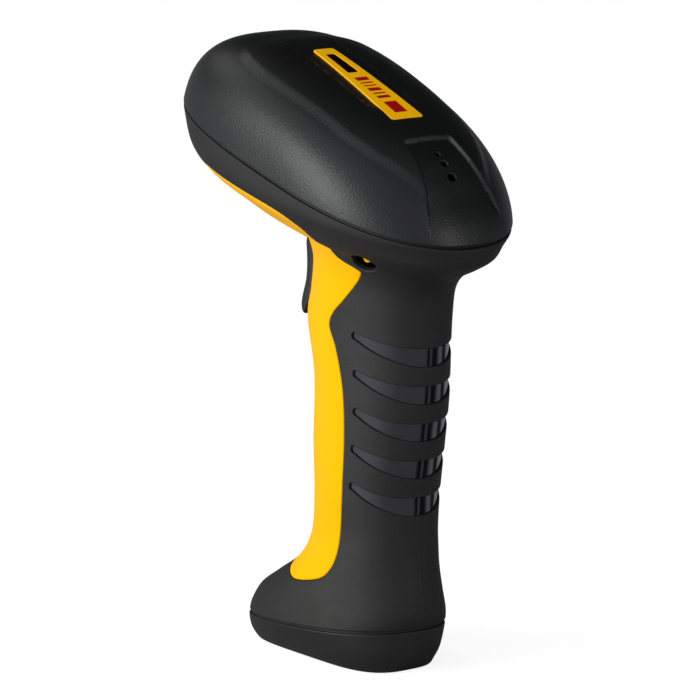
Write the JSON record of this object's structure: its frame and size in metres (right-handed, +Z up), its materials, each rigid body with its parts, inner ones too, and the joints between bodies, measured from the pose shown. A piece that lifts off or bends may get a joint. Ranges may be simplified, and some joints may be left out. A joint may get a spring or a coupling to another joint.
{
  "type": "handheld barcode scanner",
  "caption": "Pistol-grip handheld barcode scanner with a domed scan head, ribbed rubber grip, sprung trigger and a foot it stands on.",
  "frame": {"origin": "centre of the base cap's flat underside, which the scanner stands on", "axes": "+Z up through the handle, -Y towards the scan window in the nose, +X towards the operator's left; the shape is mirrored across X = 0"},
  "size_m": [0.067, 0.1083, 0.1796],
  "materials": {
    "textured_black": "fine spark-eroded texture, satin sheen",
    "rubber_black": "soft matt overmoulded rubber",
    "trim_black": "matt black",
    "gloss_black": "polished, mirror-like black",
    "yellow": "smooth satin yellow",
    "badge_yellow": "smooth orange-yellow label",
    "dark_lens": "deep red-black tinted pane, polished",
    "steel": "bright pressed steel",
    "dark_metal": "blackened screw steel",
    "board_green": "green solder mask",
    "chip": "moulded black resin",
    "amber": "amber polyimide film",
    "glass": "clear polished glass",
    "led_white": "milky white lens",
    "wrap": "blue shrink wrap",
    "brass": "bright plated spring brass"
  },
  "bodies": {
    "housing": {"top_cover": "textured_black", "badge_plate": "badge_yellow", "badge_window": "dark_lens", "light_pipe": "glass", "nose_bezel": "trim_black", "scan_window": "dark_lens", "head_seal": "rubber_black", "engine_bracket": "steel", "scan_engine": "chip", "engine_lens": "glass", "aimer_lens": "glass", "flood_led_left": "led_white", "flood_led_right": "led_white", "engine_ribbon": "amber", "main_board": "board_green", "decoder_chip": "chip", "radio_module": "steel", "buzzer": "chip", "status_led": "led_white", "grip_overmould": "rubber_black", "rear_housing": "gloss_black", "front_housing": "yellow", "base_cap": "trim_black", "base_seal": "rubber_black", "battery_cell": "wrap", "battery_contact_lower": "brass", "battery_contact_upper": "brass", "battery_cradle": "chip", "charge_board": "board_green", "usb_socket": "steel", "trigger_pin": "steel", "trigger_board": "board_green", "trigger_switch": "chip", "trigger_spring": "steel", "lanyard_bar": "yellow", "base_screw_1": "dark_metal", "base_screw_2": "dark_metal", "base_screw_3": "dark_metal", "nose_screw_right": "dark_metal", "nose_screw_left": "dark_metal", "board_screw_right": "dark_metal", "board_screw_left": "dark_metal"},
    "trigger_lever": {"trigger": "textured_black"},
    "plunger": {"switch_plunger": "yellow"}
  },
  "joints": [
    {"name": "trigger_pull", "type": "hinge", "parent": "housing", "child": "trigger_lever", "pos_m": [0, -0.0048, 0.121], "axis": [1, 0, 0], "range_deg": [0, 6], "stiffness_Nm_per_rad": 0.12, "springref_deg": -14.32, "deforming": ["trigger_spring"]},
    {"name": "plunger_press", "type": "slide", "parent": "housing", "child": "plunger", "axis": [0, 1, 0], "range_m": [0, 0.0014]}
  ],
  "couplings": [
    {"joint": "plunger_press", "follows": "trigger_pull", "m_per_rad": 0.013}
  ]
}
